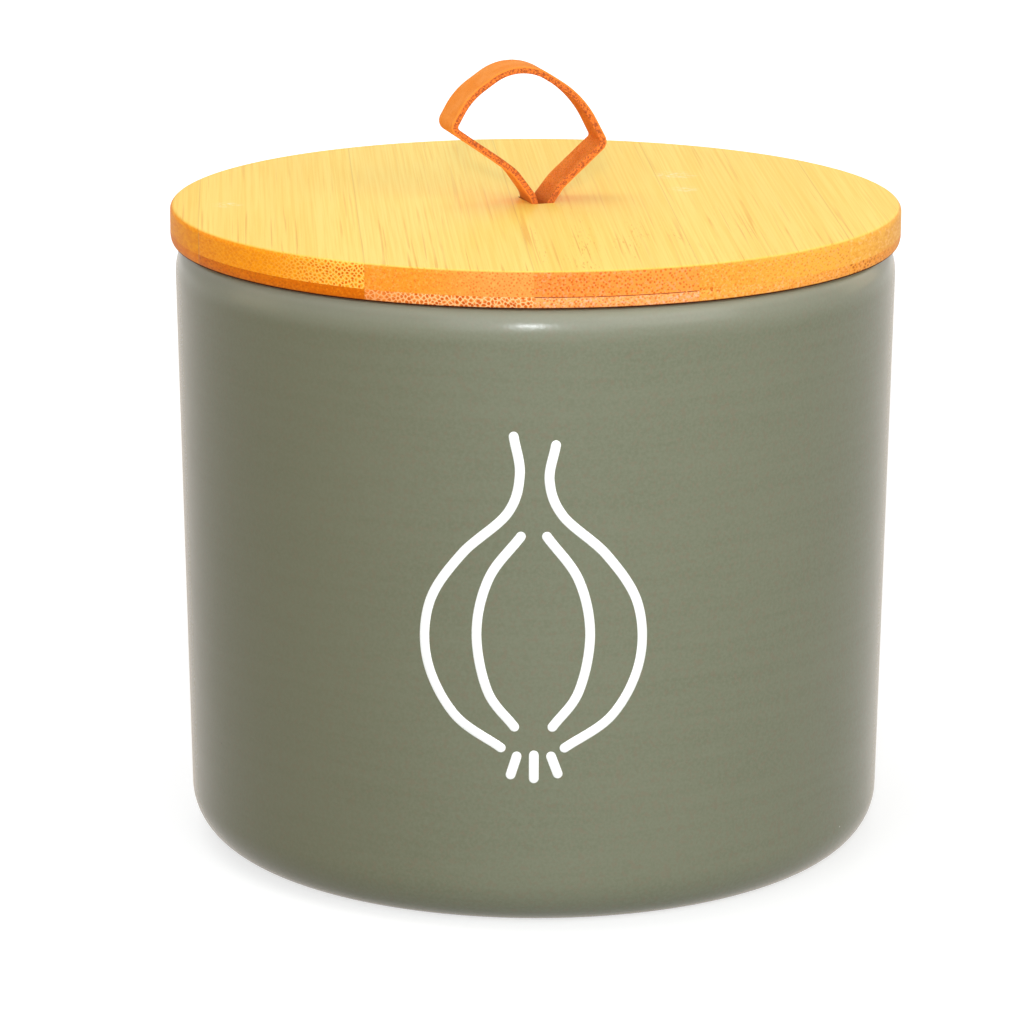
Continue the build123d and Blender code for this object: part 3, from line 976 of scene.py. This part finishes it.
# The loop's corners, each as (along the loop's plane, height over the lid's face) on its centreline, how
# far the strap's back edge is carried the same two ways where the leather twists, and the bend's radius
LOOP = [
    ((-0.95, -0.7), (0.12, 0.0), 2.0),
    ((-1.5, 1.3), (0.3, 0.0), 4.0),
    ((-4.8, 5.8), (0.3, 0.1), 8.0),
    ((-16.1, 13.65), (0.05, 0.1), 1.2),
    ((-13.2, 18.75), (0.0, 0.0), 12.0),
    ((-3.95, 24.88), (0.0, 0.0), 9.0),
    ((7.35, 17.95), (0.3, 0.2), 18.0),
    ((11.55, 9.9), (0.25, 0.1), 1.2),
    ((3.7, 3.05), (0.4, 0.25), 4.0),
    ((1.35, 0.0), (0.02, 0.0), 2.0),
]


def strap_centreline(side):
    """The strap from tail to tail, at its front edge for side -1 and at its back edge for side 1."""
    low = TAIL_BOTTOM + STRAP_THICKNESS / 2
    tail_end = LEG_OFFSET + TAIL_LENGTH
    corners = [(-tail_end, low), (-LEG_OFFSET, low)]
    for (u, w), (shift_u, shift_w), _ in LOOP:
        corners.append((u + side * shift_u, LID_TOP + w + side * shift_w))
    corners += [(LEG_OFFSET, low), (tail_end, low)]
    bends = [TAIL_FOLD] + [bend for _, _, bend in LOOP] + [TAIL_FOLD]
    return rounded_path(corners, bends)


def strap_outline():
    """The cut strap's section, as (across its width, out of its face) points with rounded corners."""
    half_width, half_thickness = STRAP_WIDTH / 2, STRAP_THICKNESS / 2
    outline = []
    for sx, sy, first in ((1, -1, -90), (1, 1, 0), (-1, 1, 90), (-1, -1, 180)):
        centre = (sx * (half_width - STRAP_EDGE_ROUND), sy * (half_thickness - STRAP_EDGE_ROUND))
        outline += quarter(*centre, STRAP_EDGE_ROUND, STRAP_EDGE_ROUND, first, first + 90, 3)
        if sx == sy:
            outline += [(sx * half_width * (0.9 - 0.2 * k), sy * half_thickness) for k in range(10)]
    return outline


def make_strap():
    front, back = strap_centreline(-1), strap_centreline(1)
    middle = [(a + b) / 2 for a, b in zip(front, back)]
    outline = strap_outline()
    rings = []
    layers = {layer: [] for layer in STRAP_LAYERS}
    run = 0.0
    for k, spot in enumerate(middle):
        before, after = middle[max(k - 1, 0)], middle[min(k + 1, len(middle) - 1)]
        run += (spot - before).length
        way = (after - before).normalized()
        outward = Vector((-way.y, way.x))
        ring = []
        for over, depth in outline:
            place = front[k].lerp(back[k], over / STRAP_WIDTH + 0.5) + outward * depth
            ring.append(strap_along * place.x + strap_across * over + Vector((0, 0, place.y)))
            values = (run, over, depth, 1.0 if depth < 0 else 0.0, place.y - LID_TOP)
            for layer, value in zip(layers.values(), values):
                layer.append(value)
        rings.append(ring)
    strap = skin("strap", rings, 50.0, capped=True, layers=layers)
    strap.data.materials.append(leather())
    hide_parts("strap_loop", "strap_tail_left", "strap_tail_right")
    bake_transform(strap)


def cross_cutter(turn):
    """One arm of a screw's cross recess."""
    bottom = -SCREW_HEAD_HEIGHT
    length, width = CROSS_HALF_LENGTH, CROSS_HALF_WIDTH
    arm = [(-length, -width), (length, -width), (length, width), (-length, width)]
    levels = ((1.0, bottom - 0.5), (1.0, bottom), (CROSS_FLOOR_SHARE, bottom + CROSS_DEPTH))
    cutter = skin("arm", [[(x * share, y * share, z) for x, y in arm] for share, z in levels], capped=True)
    cutter.data.transform(Matrix.Rotation(radians(turn), 4, "Z"))
    return cutter


def make_screws():
    """Pan-headed screws with a cross recess, head down under the strap's tails."""
    section = [(radius, rise - SCREW_HEAD_HEIGHT) for radius, rise in SCREW_DOME]
    section += [(SCREW_HEAD_RADIUS, -SCREW_RIM_HEIGHT), (SCREW_HEAD_RADIUS, -SCREW_RIM_ROUND)]
    section += [(SCREW_HEAD_RADIUS - SCREW_RIM_ROUND, 0.0), (SHANK_RADIUS, 0.0)]
    section += [(SHANK_RADIUS, SHANK_LENGTH), (0.0, SCREW_LENGTH)]
    parts = []
    for side in (-1, 1):
        screw = lathe(f"screw_{side}", section, 48)
        cut(screw, cross_cutter(STRAP_TURN), cross_cutter(STRAP_TURN + 90))
        place = strap_along * side * SCREW_REACH + Vector((0, 0, TAIL_BOTTOM))
        screw.data.transform(Matrix.Translation(place * MM))
        parts.append(screw)
    with bpy.context.temp_override(active_object=parts[0], selected_editable_objects=parts):
        bpy.ops.object.join()
    parts[0].name = "screws"
    give(parts[0], steel(), "steel", "lid", "tail_screws")


# ---- studio

CAMERA_PLACE = Vector((2.47, -788.66, 257.48))
CAMERA_PAN = 0.465
CAMERA_TILT = -14.311
CAMERA_ROLL = 0.115
CAMERA_LENS = 164.21

WARM = (1.0, 0.78, 0.5)
COOL = (0.92, 0.96, 1.0)
SUNNY = (1.0, 0.98, 0.93)
NEUTRAL = (1.0, 1.0, 1.0)
# Each lamp's place in metres, the height on the jar's axis that it faces, its size, its watts and its tint
LAMPS = {
    "key": ((0.82, -0.8, 0.62), 0.08, (0.9, 0.6), 6.4, SUNNY),
    "soft_front": ((-0.05, -1.05, 0.54), 0.09, (1.1, 0.6), 5.6, COOL),
    "spark": ((-0.02, -1.1, 0.44), 0.09, (0.08, 0.08), 5.0, COOL),
    "top": ((-0.25, 0.1, 1.0), 0.1, (0.9, 0.9), 4.1, NEUTRAL),
    "left_rim": ((-0.95, 0.1, 0.3), 0.08, (0.4, 0.5), 0.8, WARM),
    "back": ((0.15, 1.1, 0.5), 0.08, (1.0, 0.6), 1.1, NEUTRAL),
    "right_rim": ((0.8, 0.55, 0.35), 0.08, (0.4, 0.5), 0.8, WARM),
}
WORLD_LIGHT = 0.2
FLOOR_HALF = 3000
FLOOR_DROP = 0.02
FLOOR_GLOW = 0.64
FLOOR_ADDED_GLOW = 0.5


def make_camera():
    data = bpy.data.cameras.new("camera")
    data.lens = CAMERA_LENS
    data.sensor_width = 36.0
    camera = bpy.data.objects.new("camera", data)
    bpy.context.scene.collection.objects.link(camera)
    aim = Matrix.Rotation(radians(CAMERA_PAN), 4, "Z") @ Matrix.Rotation(radians(90 + CAMERA_TILT), 4, "X")
    aim = aim @ Matrix.Rotation(radians(CAMERA_ROLL), 4, "Z")
    camera.matrix_world = Matrix.Translation(CAMERA_PLACE * MM) @ aim
    bpy.context.scene.camera = camera


def area_light(name, place, aim_height, size, watts, tint):
    data = bpy.data.lights.new(name, "AREA")
    data.shape = "RECTANGLE"
    data.size, data.size_y = size
    data.energy = watts
    data.color = tint
    lamp = bpy.data.objects.new(name, data)
    bpy.context.scene.collection.objects.link(lamp)
    lamp.location = place
    lamp.rotation_euler = (Vector((0, 0, aim_height)) - Vector(place)).to_track_quat("-Z", "Y").to_euler()


def seen_directly(tree):
    """1 for rays that see the surface from the camera, in a mirror or through glass."""
    path = tree.nodes.new("ShaderNodeLightPath")
    total = path.outputs["Is Camera Ray"]
    for ray in ("Is Glossy Ray", "Is Transmission Ray"):
        either = tree.nodes.new("ShaderNodeMath")
        either.operation = "MAXIMUM"
        tree.links.new(total, either.inputs[0])
        tree.links.new(path.outputs[ray], either.inputs[1])
        total = either.outputs[0]
    return total


def make_world():
    """White where it is seen, and a little light from all sides."""
    world = bpy.data.worlds.new("studio")
    bpy.context.scene.world = world
    world.use_nodes = True
    tree = world.node_tree
    background = tree.nodes["Background"]
    background.inputs["Color"].default_value = (1, 1, 1, 1)
    level = tree.nodes.new("ShaderNodeMapRange")
    tree.links.new(seen_directly(tree), level.inputs["Value"])
    level.inputs["To Min"].default_value = WORLD_LIGHT
    level.inputs["To Max"].default_value = 1.0
    tree.links.new(level.outputs[0], background.inputs["Strength"])


def make_floor():
    """White paper that keeps the shadow near the jar and glows more to the camera away from it."""
    square = ((-1, -1), (1, -1), (1, 1), (-1, 1))
    corners = [(x * FLOOR_HALF, y * FLOOR_HALF, -FLOOR_DROP) for x, y in square]
    floor = mesh_object("floor", corners, [(0, 1, 2, 3)])
    paper = Shading("floor_paper", roughness=0.9, Specular_IOR_Level=0.0)
    far = paper.fade(paper.length(paper.place()), 200.0, 1200.0)
    paper.bsdf.inputs["Base Color"].default_value = (0.5, 0.5, 0.5, 1)
    paper.bsdf.inputs["Emission Color"].default_value = (1, 1, 1, 1)
    glow = paper.product(seen_directly(paper.tree), paper.ramp(far, FLOOR_GLOW, FLOOR_ADDED_GLOW))
    paper.plug(paper.bsdf.inputs["Emission Strength"], glow)
    floor.data.materials.append(paper.material)


make_jar()
line_glaze = white_line()
for line_name, line_points in BULB_LINES.items():
    make_drawn_line(f"bulb_{line_name}", line_points, line_glaze)
make_lid()
make_plug()
make_seal()
make_strap()
make_screws()
make_camera()
bpy.context.scene.view_settings.view_transform = "Standard"
make_world()
make_floor()
for lamp_name, lamp in LAMPS.items():
    area_light(lamp_name, *lamp)
